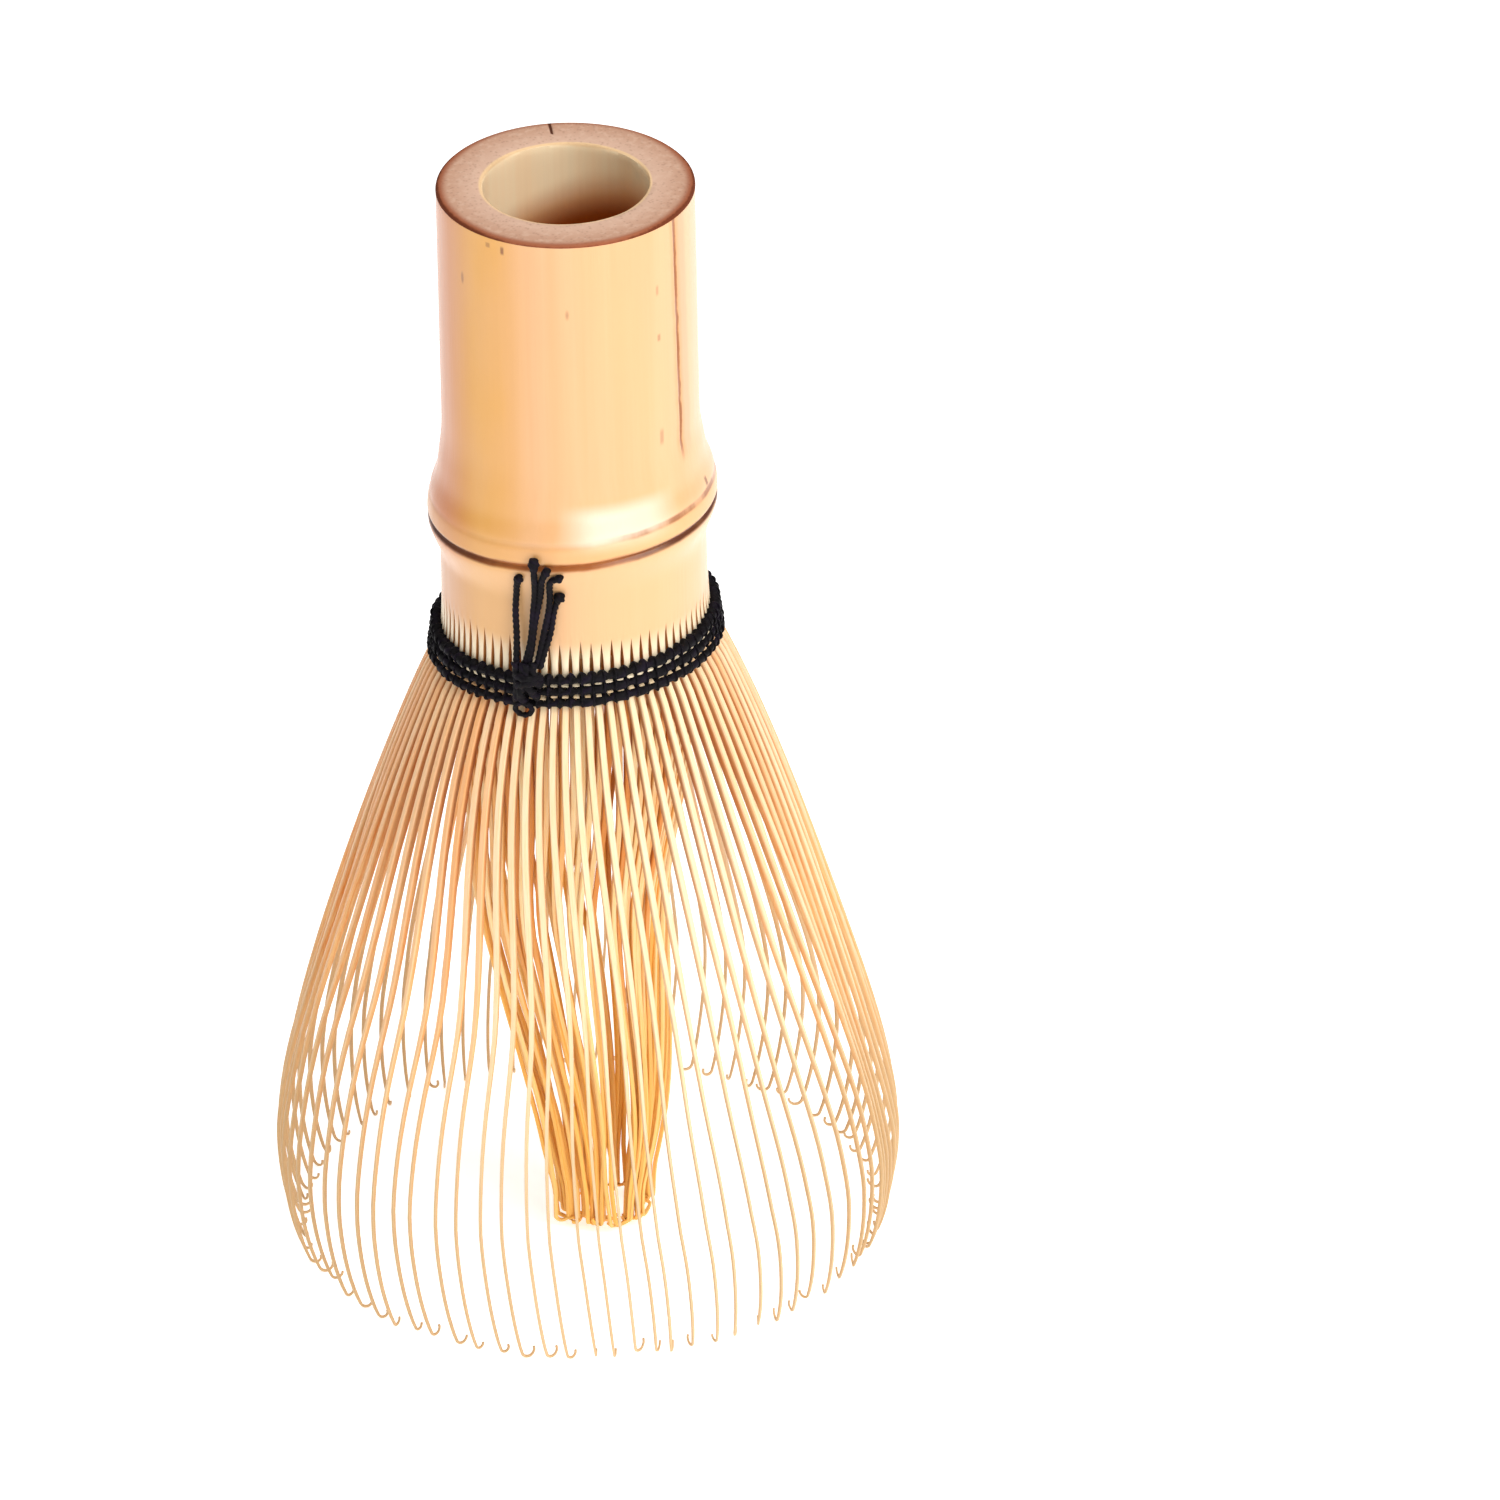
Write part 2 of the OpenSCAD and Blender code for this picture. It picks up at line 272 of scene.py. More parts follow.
class Tree:
    """Short calls for the nodes of one material."""

    def __init__(self, name, **sockets):
        self.material = bpy.data.materials.new(name)
        self.material.use_nodes = True
        self.nodes = self.material.node_tree.nodes
        self.links = self.material.node_tree.links
        self.shader = self.nodes["Principled BSDF"]
        for key, value in sockets.items():
            self.shader.inputs[key.replace("_", " ")].default_value = value

    def put(self, socket, value):
        if isinstance(value, bpy.types.NodeSocket):
            self.links.new(value, socket)
        elif value is not None:
            socket.default_value = value

    def new(self, kind, **settings):
        made = self.nodes.new(kind)
        for key, value in settings.items():
            setattr(made, key, value)
        return made

    def math(self, operation, a, b=None):
        made = self.new("ShaderNodeMath", operation=operation)
        for socket, value in zip(made.inputs, (a, b)):
            self.put(socket, value)
        return made.outputs[0]

    def times(self, a, b):
        return self.math("MULTIPLY", a, b)

    def plus(self, a, b):
        return self.math("ADD", a, b)

    def minus(self, a, b):
        return self.math("SUBTRACT", a, b)

    def ramp(self, value, low, high, to_low=0.0, to_high=1.0):
        """value, stretched smoothly from low..high to to_low..to_high and held outside."""
        made = self.new("ShaderNodeMapRange", interpolation_type="SMOOTHSTEP")
        for key, entry in zip(("Value", "From Min", "From Max", "To Min", "To Max"),
                              (value, low, high, to_low, to_high)):
            self.put(made.inputs[key], entry)
        return made.outputs[0]

    def line(self, value, centre, half):
        """1 where value is at centre, falling to 0 at half away from it."""
        away = self.math("ABSOLUTE", self.minus(value, centre))
        return self.ramp(away, 0.35 * half, half, 1.0, 0.0)

    def colour(self, factor, a, b):
        """Colour a where factor is 0, and colour b where it is 1."""
        made = self.new("ShaderNodeMix", data_type="RGBA")
        self.put(made.inputs[0], factor)
        self.put(made.inputs[6], a)
        self.put(made.inputs[7], b)
        return made.outputs[2]

    def position(self):
        """Where a point is, in metres."""
        return self.new("ShaderNodeTexCoord").outputs["Object"]

    def field(self, name, output="Fac"):
        return self.new("ShaderNodeAttribute", attribute_name=name).outputs[output]

    def split(self, vector):
        made = self.new("ShaderNodeSeparateXYZ")
        self.put(made.inputs[0], vector)
        return made.outputs

    def stretch(self, vector, x, y, z):
        made = self.new("ShaderNodeVectorMath", operation="MULTIPLY")
        self.put(made.inputs[0], vector)
        made.inputs[1].default_value = (x, y, z)
        return made.outputs[0]

    def noise(self, vector, scale=1.0, detail=3.0, roughness=0.5):
        made = self.new("ShaderNodeTexNoise")
        for key, value in zip(("Vector", "Scale", "Detail", "Roughness"), (vector, scale, detail, roughness)):
            self.put(made.inputs[key], value)
        return made.outputs["Fac"]

    def specks(self, vector):
        """Scattered cells: the distance to each one's centre, and its own random colour."""
        made = self.new("ShaderNodeTexVoronoi")
        self.put(made.inputs["Vector"], vector)
        self.put(made.inputs["Scale"], 1.0)
        return made.outputs

    def bump(self, height, strength, distance):
        made = self.new("ShaderNodeBump")
        self.put(made.inputs["Height"], height)
        made.inputs["Strength"].default_value = strength
        made.inputs["Distance"].default_value = distance
        return made.outputs[0]

    def finish(self, colour, roughness, normal):
        self.put(self.shader.inputs["Base Color"], colour)
        self.put(self.shader.inputs["Roughness"], roughness)
        self.put(self.shader.inputs["Normal"], normal)
        return self.material


# ---- materials


class CulmTree(Tree):
    """A material laid out by height, radius and azimuth, in millimetres and degrees."""

    def __init__(self, name, **sockets):
        super().__init__(name, **sockets)
        self.place = self.position()
        self.x, self.y, self.z = self.split(self.stretch(self.place, 1 / MM, 1 / MM, 1 / MM))[:3]
        squares = self.plus(self.times(self.x, self.x), self.times(self.y, self.y))
        self.radius = self.math("SQRT", squares)
        self.turn = self.math("DEGREES", self.math("ARCTAN2", self.y, self.x))


def culm_skin():
    """Dried bamboo skin: fine upright fibres, scars around the node, flecks, marks and a long crack."""
    t = CulmTree("bamboo_skin", Specular_IOR_Level=0.25, Coat_Weight=0.65, Coat_Roughness=0.25)
    fibres = t.noise(t.stretch(t.place, 3800, 3800, 60), detail=4, roughness=0.6)
    streaks = t.noise(t.stretch(t.place, 520, 520, 14), detail=3)
    clouds = t.noise(t.stretch(t.place, 110, 110, 45), detail=2)
    grain = skin_base(t, fibres, streaks, clouds)
    grain = skin_scars(t, grain, streaks)
    grain = skin_flecks(t, grain)
    grain = skin_crack(t, grain)
    for mark_turn, mark_z, half_turn, half_z, depth in MARKS:
        mark = t.times(t.line(t.turn, mark_turn, half_turn), t.line(t.z, mark_z, half_z))
        grain = t.colour(t.times(mark, depth), grain, seen(130, 72, 34))
    rough = t.ramp(streaks, 0.3, 0.7, 0.34, 0.5)
    height = t.plus(t.times(fibres, 0.6), t.times(streaks, 0.4))
    return t.finish(grain, rough, t.bump(height, 0.25, 0.00012))


def skin_base(t, fibres, streaks, clouds):
    """Pale skin, golden left of the front, with painted shade making it redder round the left side and a
    painted highlight on the swell.
    """
    grain = t.colour(t.ramp(streaks, 0.3, 0.72), seen(230, 175, 123), seen(234, 182, 133))
    grain = t.colour(t.ramp(fibres, 0.35, 0.75, 0.0, 0.14), grain, seen(222, 170, 118))
    grain = t.colour(t.ramp(clouds, 0.42, 0.7, 0.0, 0.3), grain, seen(236, 184, 126))
    golden = t.times(t.line(t.turn, GOLDEN_A, 30.0), t.ramp(clouds, 0.3, 0.65, 0.5, 0.9))
    grain = t.colour(golden, grain, seen(232, 168, 70))
    # Painted shade: the skin turns darker and redder towards the left edge, away from the key light.
    side = t.ramp(t.x, -12.3, -8.3, 0.9, 0.0)
    grain = t.colour(side, grain, seen(208, 118, 56))
    # Painted highlight: a pale patch on the swell, where the front light's reflection falls.
    painted_highlight = t.times(t.line(t.turn, PAINTED_HIGHLIGHT_A, 30.0), t.line(t.z, PAINTED_HIGHLIGHT_Z, 2.7))
    painted_highlight = t.times(painted_highlight, t.ramp(clouds, 0.2, 0.6, 0.45, 0.7))
    return t.colour(painted_highlight, grain, seen(255, 234, 214))


def skin_scars(t, grain, streaks):
    """The scar line around the node, the faint line above it, and the pale neck and teeth below."""
    scar_h = t.minus(t.z, t.plus(NODE_Z, t.times(t.x, BAND_SLOPE)))
    waver = t.minus(t.noise(t.stretch(t.place, 300, 300, 0), detail=3), 0.5)
    scar_h = t.plus(scar_h, t.times(waver, 0.35))
    between = t.times(t.ramp(scar_h, 0.0, 0.5), t.ramp(scar_h, 1.7, 2.3, 0.5, 0.0))
    grain = t.colour(between, grain, seen(232, 172, 104))
    right = t.ramp(t.x, 2.0, 9.0, 0.12, 0.85)
    broken = t.ramp(streaks, 0.35, 0.6, 0.4, 1.0)
    upper = t.times(t.line(scar_h, LIP_H, 0.42), t.times(right, broken))
    grain = t.colour(upper, grain, seen(150, 82, 30))
    # Painted shade: the scar's colour darkens towards both sides, away from the front, where the groove turns
    # out of the light.
    aside = t.ramp(t.math("ABSOLUTE", t.plus(t.x, 1.0)), 3.0, 11.0)
    scar_colour = t.colour(aside, seen(166, 94, 38), seen(100, 46, 18))
    scar = t.times(t.line(scar_h, 0.0, 0.62), t.ramp(streaks, 0.2, 0.6, 0.88, 1.0))
    grain = t.colour(scar, grain, scar_colour)

    # Pale neck, nearly white where it is split into teeth.
    neck = t.times(t.ramp(scar_h, -1.2, -0.3, 0.45, 0.0), t.ramp(t.radius, 11.0, 12.0))
    grain = t.colour(neck, grain, seen(230, 184, 134))
    teeth = t.ramp(t.z, SPLIT_Z - 2.2, SPLIT_Z + 0.6, 0.85, 0.0)
    return t.colour(teeth, grain, seen(254, 240, 208))


def skin_flecks(t, grain):
    """Sparse dark flecks, drawn out along the fibres."""
    cells = t.specks(t.stretch(t.place, 420, 420, 150))
    near = t.ramp(cells["Distance"], 0.05, 0.13, 1.0, 0.0)
    fleck = t.times(near, t.ramp(t.split(cells["Color"])[0], 0.93, 0.95))
    return t.colour(t.times(fleck, 0.6), grain, seen(150, 98, 60))


def skin_crack(t, grain):
    """A long crack in the handle, right of the front, with a grey streak beside it."""
    lean = t.times(t.minus(t.z, CRACK_Z), CRACK_LEAN)
    wander = t.minus(t.noise(t.stretch(t.place, 0, 0, 420), detail=3), 0.5)
    crack_turn = t.plus(t.plus(t.turn, lean), t.times(wander, 3.0))
    reach = t.times(t.ramp(t.z, 84.0, 86.5), t.ramp(t.radius, 11.5, 11.8))
    crack = t.times(t.line(crack_turn, CRACK_A, 1.5), reach)
    worn = t.times(t.line(crack_turn, CRACK_A + 5.0, 6.0), t.times(reach, 0.5))
    halo = t.times(t.line(crack_turn, CRACK_A, 4.5), t.times(reach, 0.5))
    grain = t.colour(worn, grain, seen(196, 154, 110))
    grain = t.colour(halo, grain, seen(214, 146, 76))
    return t.colour(t.times(crack, 0.9), grain, seen(150, 84, 28))


def culm_end():
    """The sawn end, and the wall of the hollow inside it."""
    t = CulmTree("bamboo_end", Specular_IOR_Level=0.12)
    inside = hollow_wall(t)
    dots = t.specks(t.stretch(t.place, 2300, 2300, 0))["Distance"]
    pores = t.noise(t.stretch(t.place, 1500, 1500, 0), detail=2)
    sawn = sawn_face(t, dots, pores)
    above = t.ramp(t.z, HEIGHT - 0.45, HEIGHT - 0.3)
    on_end = t.times(above, t.ramp(t.radius, BORE_R + 0.01, BORE_R + 0.08))
    rough = t.ramp(pores, 0.3, 0.7, 0.65, 0.85)
    return t.finish(t.colour(on_end, inside, sawn), rough, t.bump(pores, 0.25, 0.00012))


def hollow_wall(t):
    """The wall of the hollow, with painted shade: darker brown further down and towards the right."""
    streaks = t.noise(t.stretch(t.place, 520, 520, 14), detail=3)
    inside = t.colour(t.ramp(streaks, 0.3, 0.7), seen(255, 228, 188), seen(255, 236, 200))
    # Painted shade: the wall darkens with depth and towards the right, the side turned away from the key
    # light.
    depth = t.minus(t.minus(HEIGHT, t.z), t.times(t.x, -0.35))
    inside = t.colour(t.ramp(depth, 3.2, 7.0, 0.0, 0.75), inside, seen(206, 128, 58))
    return t.colour(t.ramp(depth, 5.5, 8.6, 0.0, 0.97), inside, seen(150, 66, 0))


def sawn_face(t, dots, pores):
    """End grain with its dark dots, a painted highlight along the inner edge, a dark outer rim and a short
    crack.
    """
    sawn = t.colour(t.ramp(t.radius, BORE_R + 0.5, HANDLE_R - 0.6), seen(210, 174, 152), seen(192, 150, 126))
    sawn = t.colour(t.ramp(dots, 0.12, 0.4, 0.35, 0.0), sawn, seen(150, 112, 96))
    sawn = t.colour(t.ramp(pores, 0.45, 0.7, 0.0, 0.4), sawn, seen(218, 186, 164))
    # Painted highlight: a pale line where the bevel at the edge of the hollow catches the light.
    sawn = t.colour(t.ramp(t.radius, BORE_R + 0.2, BORE_R + 0.45, 0.8, 0.0), sawn, seen(234, 200, 152))
    rim = t.plus(t.radius, t.times(t.minus(pores, 0.5), 0.3))
    rim = t.plus(rim, t.ramp(t.math("ABSOLUTE", t.x), 4.0, 11.0, -0.2, 0.08))
    sawn = t.colour(t.ramp(rim, HANDLE_R - 1.1, HANDLE_R - 0.25, 0.0, 0.85), sawn, seen(146, 72, 36))
    sawn = t.colour(t.ramp(rim, HANDLE_R - 0.32, HANDLE_R - 0.1, 0.0, 0.85), sawn, seen(96, 42, 20))
    end_crack = t.times(t.line(t.turn, END_CRACK_A, 1.1), t.ramp(t.radius, 9.6, 9.9))
    return t.colour(end_crack, sawn, seen(84, 46, 30))


def tine_skin(name, face, shade, edge, tip, dark_tone_and_root_shade):
    """Split bamboo: the skin side in one colour, the cut sides in another, with fibres along each tine."""
    t = Tree(name, Specular_IOR_Level=0.35)
    grain = t.field("grain", "Vector")
    skin = t.field("skin")
    tone = t.field("tone")
    along = t.field("along")
    fibres = t.noise(t.stretch(grain, 9.0, 9.0, 0.35), detail=3, roughness=0.6)
    patches = t.noise(t.stretch(grain, 0.6, 0.6, 0.09), detail=2)
    front = t.colour(t.ramp(fibres, 0.35, 0.7, 0.0, 0.55), face, shade)
    upper = t.ramp(along, 0.35, 0.8, 1.0, 0.35)
    front = t.colour(t.times(t.ramp(tone, 0.1, 0.9, 0.0, 0.85), upper), front, edge)
    cut = t.colour(t.ramp(fibres, 0.3, 0.7), edge, shade)
    cut = t.colour(t.ramp(tone, 0.0, 0.4, 0.7, 0.0), cut, face)
    cut = t.colour(t.ramp(tone, 0.6, 0.95, 0.0, 0.6), cut, dark_tone_and_root_shade)
    # Painted shade: cut sides darken near the root, under the thread and the wall across the node.
    cut = t.colour(t.ramp(along, 0.1, 0.5, 0.75, 0.0), cut, dark_tone_and_root_shade)
    cut = t.colour(t.ramp(patches, 0.4, 0.65, 0.0, 0.4), cut, tip)
    front = t.colour(t.ramp(tone, 0.76, 0.95, 0.0, 0.4), front, dark_tone_and_root_shade)
    mixed = t.colour(t.ramp(skin, 0.25, 0.75), cut, front)
    lower = t.times(t.ramp(along, 0.4, 0.85, 0.0, 0.9), t.ramp(tone, 0.1, 0.35, 0.8, 1.0))
    mixed = t.colour(lower, mixed, tip)
    rough = t.ramp(fibres, 0.3, 0.7, 0.42, 0.6)
    return t.finish(mixed, rough, t.bump(fibres, 0.3, 0.00008))


# Skin side, its darker fibres, cut sides, tips, and the dark colour of deep-toned tines, also painted as
# shade on cut sides near the root, under the thread.
OUTER_COLOURS = [(250, 227, 190), (248, 206, 142), (238, 156, 80), (206, 172, 126), (176, 90, 28)]
INNER_COLOURS = [(254, 236, 186), (252, 200, 110), (245, 163, 60), (248, 190, 92), (184, 90, 16)]


def thread_black():
    """Black cotton thread: twisted plies with fine fibres, a soft sheen, a faint violet cast and painted
    shade in the grooves between the plies.
    """
    t = Tree("black_thread", Specular_IOR_Level=0.13, Sheen_Weight=0.03, Sheen_Roughness=0.4)
    grain = t.field("grain", "Vector")
    ply = t.field("ply")
    fibres = t.noise(t.stretch(grain, 7.0, 2.0, 2.0), detail=3, roughness=0.7)
    patches = t.noise(t.stretch(grain, 0.3, 0.7, 0.7), detail=2)
    base = t.colour(t.ramp(fibres, 0.35, 0.75), seen(5, 4, 6), seen(18, 13, 21))
    base = t.colour(t.ramp(patches, 0.45, 0.7, 0.0, 0.45), base, seen(28, 16, 40))
    # Painted shade: darker where the plies dip into the groove between them.
    base = t.colour(t.ramp(ply, -0.4, -1.0, 0.0, 0.6), base, seen(6, 5, 7))
    rough = t.ramp(fibres, 0.3, 0.7, 0.5, 0.75)
    return t.finish(base, rough, t.bump(fibres, 0.5, 0.0001))


def floor_white():
    """A pale studio floor with a barely visible tooth."""
    t = Tree("studio_floor", Specular_IOR_Level=0.1, Emission_Strength=0.6)
    tooth = t.noise(t.position(), scale=900, detail=2)
    base = t.colour(t.ramp(tooth, 0.4, 0.6), seen(246, 246, 246), seen(250, 250, 250))
    return t.finish(base, t.ramp(tooth, 0.3, 0.7, 0.8, 0.9), t.bump(tooth, 0.05, 0.0001))


# ---- the culm

# Marks in the skin: azimuth, height, half width in degrees, half height and depth of colour.
MARKS = [
    (-127.0, 109.3, 1.6, 0.35, 0.5),
    (-119.5, 109.1, 1.2, 0.55, 0.8),
    (-46.5, 103.7, 1.1, 0.7, 0.35),
    (-46.0, 98.7, 1.3, 0.5, 0.45),
    (-45.5, 88.2, 1.6, 1.1, 0.4),
    (-18.0, 80.9, 1.6, 0.6, 0.8),
]

# Where the skin differs: azimuth (A), height (Z), height above the scar (H), degrees per mm (LEAN).
GOLDEN_A = -134.0
# Azimuth and height of the pale patch painted on the swell as a highlight.
PAINTED_HIGHLIGHT_A = -69.0
PAINTED_HIGHLIGHT_Z = 80.7
LIP_H = 2.1
CRACK_A = -33.0
CRACK_Z = 98.0
CRACK_LEAN = 0.11
END_CRACK_A = 97.0
COLUMNS_PER_TOOTH = 5
CULM_COLUMNS = TEETH * COLUMNS_PER_TOOTH
TOOTH_DEPTH = 0.75
SLIT_GAP = 0.38
SLIT_LENGTH = 2.6


def culm_columns():
    """Azimuth of each column; every fifth one is in line with a slit between two teeth."""
    return (np.arange(CULM_COLUMNS) / COLUMNS_PER_TOOTH - 0.5) * TOOTH_STEP


def skin_radius(z, a):
    """Outside of the culm with its scar, the shallow line above it, its crack and its unevenness."""
    r = culm_r(z)
    groove = 0.32 * np.exp(-(((z - NODE_Z) / 0.26) ** 2))
    lip = 0.05 * np.exp(-(((z - NODE_Z - LIP_H) / 0.35) ** 2))
    hollow = 0.2 * np.exp(-(((z - 81.5) / 1.4) ** 2))
    flats = 0.03 * (1 + sind(3 * a + 40)) + 0.015 * (1 + sind(7 * a + 2.5 * z))
    off = angle_from(CRACK_A - (z - CRACK_Z) * CRACK_LEAN, a)
    crack = 0.14 * np.exp(-((off / 0.5) ** 2)) * smooth((z - 84) / 2.5)
    return r - groove - lip - hollow - flats - crack


def node_tilt(r, a, z):
    """How far a ring near the node is tipped, so that the scar is level with the band's own tilt."""
    near = smooth((z - 70.5) / 4.0) * smooth((91.0 - z) / 10.0)
    return r * cosd(a) * BAND_SLOPE * near


def culm_rows():
    """Heights of the rows down the outside of the culm, closest together at the node."""
    handle = np.linspace(HEIGHT - 0.6, 88.5, 24)
    swell = np.linspace(88.0, 79.8, 22)
    node = np.linspace(79.6, 76.2, 35)
    neck = np.linspace(75.9, SPLIT_Z + 1.3, 16)
    return np.concatenate([handle, swell, node, neck])


def end_rings(a):
    """The sawn end, from the top of the hollow out to the bevel around the end."""
    rings = []
    radii = [BORE_R, BORE_R + 0.06, BORE_R + 0.18, 8.6, 9.3, 10.0, 10.7, 11.3, HANDLE_R - END_BEVEL]
    drops = [0.4, 0.12, 0.02, 0.0, 0.0, 0.0, 0.0, 0.0, 0.0]
    for r, drop in zip(radii, drops):
        saw = 0.012 * (1 + sind(95 * r * sind(a - 20)))
        crack = 0.16 * np.exp(-((angle_from(END_CRACK_A, a) / 0.6) ** 2)) * smooth((r - 9.4) / 0.6)
        rings.append(polar(r + 0.03 * sind(5 * a + 70) * (r < 7.8), a, HEIGHT - drop - saw - crack))
    for share in (0.3, 0.7, 1.0):
        r = HANDLE_R - END_BEVEL * (1 - sind(90 * share)) - 0.03
        rings.append(polar(r, a, HEIGHT - END_BEVEL * (1 - cosd(90 * share)) - 0.02))
    return rings


def hollow_rings(a):
    """The hollow of the handle, from the middle of its floor up to the sawn end."""
    rings = []
    for r in (2.5, 5.0, BORE_R - 0.6):
        dome = 0.08 * (r / BORE_R) ** 2
        rings.append(polar(r, a, SEPTUM_TOP - 0.25 + dome + 0.05 * sind(3 * a + 30 * r)))
    rings.append(polar(BORE_R - 0.1, a, SEPTUM_TOP + 0.3))
    for z in np.linspace(SEPTUM_TOP + 0.9, HEIGHT - 0.9, 18):
        rings.append(polar(BORE_R + 0.03 * sind(5 * a + 70) + 0.02 * sind(9 * a + 4 * z), a, z))
    return rings


# Height and radius of the rings inside the neck, up to the underside of the wall across the node.
NECK_HOLLOW = [(72.0, NECK_BORE_R - 0.1), (75.5, NECK_BORE_R - 0.5), (76.6, 9.0),
               (SEPTUM_LOW, 7.5), (SEPTUM_LOW, 3.0)]


def culm_body(materials):
    """One piece of bamboo: the handle, the node with its wall, the neck, and the teeth above the tines."""
    rng = np.random.default_rng(11)
    m = Mesher()
    a = culm_columns()

    # Inside the handle, over its end and down the outside to the tips of the slits.
    rings = hollow_rings(a) + end_rings(a)
    skin_row = len(rings)
    for z in culm_rows():
        r = skin_radius(z, a)
        rings.append(polar(r, a, z + node_tilt(r, a, z)))
    slit_top = SPLIT_Z + 0.2 + 0.45 * rng.random(TEETH)
    apex_z = np.full((TEETH, COLUMNS_PER_TOOTH), SPLIT_Z - 0.1)
    apex_z[:, 0] = slit_top
    apex_z = apex_z.ravel()
    apex_r = root_surface(apex_z - band_height(a))
    rings.append(polar(apex_r, a, apex_z))
    grid = add_rings(m, rings)
    outer_apex = grid[-1, :-1]
    m.quads(grid[:skin_row], 2)
    m.quads(grid[skin_row - 1:])
    m.face(grid[0, -2::-1], 2)

    # The back of the teeth, the inside of the neck and the underside of the wall across the node.
    inner = [polar(apex_r - TOOTH_DEPTH, a, apex_z), polar(NECK_BORE_R, a, apex_z - 0.1)]
    inner += [polar(r, a, z) for z, r in NECK_HOLLOW]
    grid = add_rings(m, inner)
    back_apex = grid[0, :-1]
    m.quads(grid, 1)
    m.face(grid[-1, :-1], 1)

    add_teeth(m, outer_apex, back_apex, slit_top)
    made = m.piece("culm_body", materials)
    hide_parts("culm", "outer_tine_roots")
    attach(made, "handle")


def add_rings(m, rings):
    """Adds rings of vertices, and returns their indices with the first column repeated at the end."""
    first = m.add(np.array(rings))
    grid = first + np.arange(len(rings) * CULM_COLUMNS).reshape(len(rings), CULM_COLUMNS)
    return np.concatenate([grid, grid[:, :1]], axis=1)


def add_teeth(m, outer_apex, back_apex, slit_top):
    """Teeth below the slits' tips, each as wide as its tine, down to the middle round of thread."""
    shares = np.arange(COLUMNS_PER_TOOTH + 1) / COLUMNS_PER_TOOTH - 0.5
    for k in range(TEETH):
        middle = k * TOOTH_STEP
        low = band_height(middle) - 0.3
        fronts, backs = [], []
        for z in mix(SPLIT_Z - 0.45, low, np.linspace(0, 1, 22) ** 1.1):
            h = z - band_height(middle)
            r = root_surface(h) + between_rounds(h)
            left = SLIT_GAP / 2 * smooth((slit_top[k] - z) / SLIT_LENGTH) ** 0.6
            right = SLIT_GAP / 2 * smooth((slit_top[(k + 1) % TEETH] - z) / SLIT_LENGTH) ** 0.6
            half = np.radians(TOOTH_STEP / 2) * r
            across = np.interp(shares, (-0.5, 0.5), (-half + left, half - right))
            turn = middle + np.degrees(across / r)
            fronts.append(polar(r - 0.07 * np.abs(2 * shares) ** 4, turn, z))
            backs.append(polar(r - TOOTH_DEPTH, turn, z))
        columns = (k * COLUMNS_PER_TOOTH + np.arange(COLUMNS_PER_TOOTH + 1)) % CULM_COLUMNS
        skin_tooth(m, fronts, backs, outer_apex[columns], back_apex[columns])


def skin_tooth(m, fronts, backs, front_apex, back_apex):
    """Joins one tooth's front, back, sides and lower end to the culm above it."""
    indices = np.arange(len(fronts) * len(front_apex)).reshape(len(fronts), len(front_apex))
    front = np.concatenate([front_apex[None], m.add(np.array(fronts)) + indices])
    back = np.concatenate([back_apex[None], m.add(np.array(backs)) + indices])
    m.quads(front)
    m.quads(back, 1)
    m.quads(np.stack([front[:, 0], back[:, 0]], axis=1), 1)
    m.quads(np.stack([front[:, -1], back[:, -1]], axis=1), 1)
    m.quads(np.stack([front[-1], back[-1]]), 1)


# ---- tines

# Section of a tine: its corners in half widths and half thicknesses, and how far each one is skin.
SECTION = np.array([
    (-0.7, 1.0), (0.7, 1.0), (1.0, 0.6), (1.0, -0.6),
    (0.7, -1.0), (-0.7, -1.0), (-1.0, -0.6), (-1.0, 0.6),
])
SECTION_SKIN = np.array([1.0, 1.0, 0.45, 0.0, 0.0, 0.0, 0.0, 0.45])

# Where tines start below the thread, and the stretch around its hinge over which bend() works out a bend that
# it does not use.
OUTER_START_R = 12.7
INNER_START_R = 11.0
INNER_ROOT_R = 11.2
BEND_ABOVE = 0.6
BEND_LENGTH = 22.0
BEND_OUTER_R = 20.0
BEND_INNER_R = 10.6

# Half width and half thickness of a tine, at its top and towards its tip.
OUTER_HALF_W = (0.33, 0.135)
OUTER_HALF_T = (0.5, 0.14)
INNER_HALF_W = (0.36, 0.2)
INNER_HALF_T = (0.30, 0.12)
ROOT_HALF_T = 0.32

# Where the inner tines' hooks start, the hooks' radius, and how many tufts the inner tines gather into.
INNER_HOOK_R = 3.9
INNER_HOOK_SIZE = 0.5
TUFTS = 20


def strip(m, path, side, half_w, half_t, index, tone):
    """Adds one tine. The path runs down the middle of its outer face, and side points across it."""
    step = unit(np.gradient(path, axis=0))
    side = unit(side - step * np.sum(side * step, axis=1, keepdims=True))
    out = np.cross(step, side)
    centre = path - out * half_t[:, None]
    rings = centre[:, None] + side[:, None] * (half_w[:, None] * SECTION[:, 0])[..., None]
    rings = rings + out[:, None] * (half_t[:, None] * SECTION[:, 1])[..., None]
    length = np.concatenate([[0], np.cumsum(np.linalg.norm(np.diff(path, axis=0), axis=1))])
    n, sides = rings.shape[:2]
    grain = np.stack([
        np.broadcast_to(SECTION[:, 0] * 0.3 + 7.3 * index, (n, sides)),
        np.broadcast_to(SECTION[:, 1] * 0.3 + 3.1 * index, (n, sides)),
        np.broadcast_to(length[:, None], (n, sides)),
    ], axis=-1)
    m.tube(
        rings,
        grain=grain,
        skin=np.broadcast_to(SECTION_SKIN, (n, sides)),
        tone=np.full((n, sides), tone),
        along=np.broadcast_to((length / length[-1])[:, None], (n, sides)),
    )


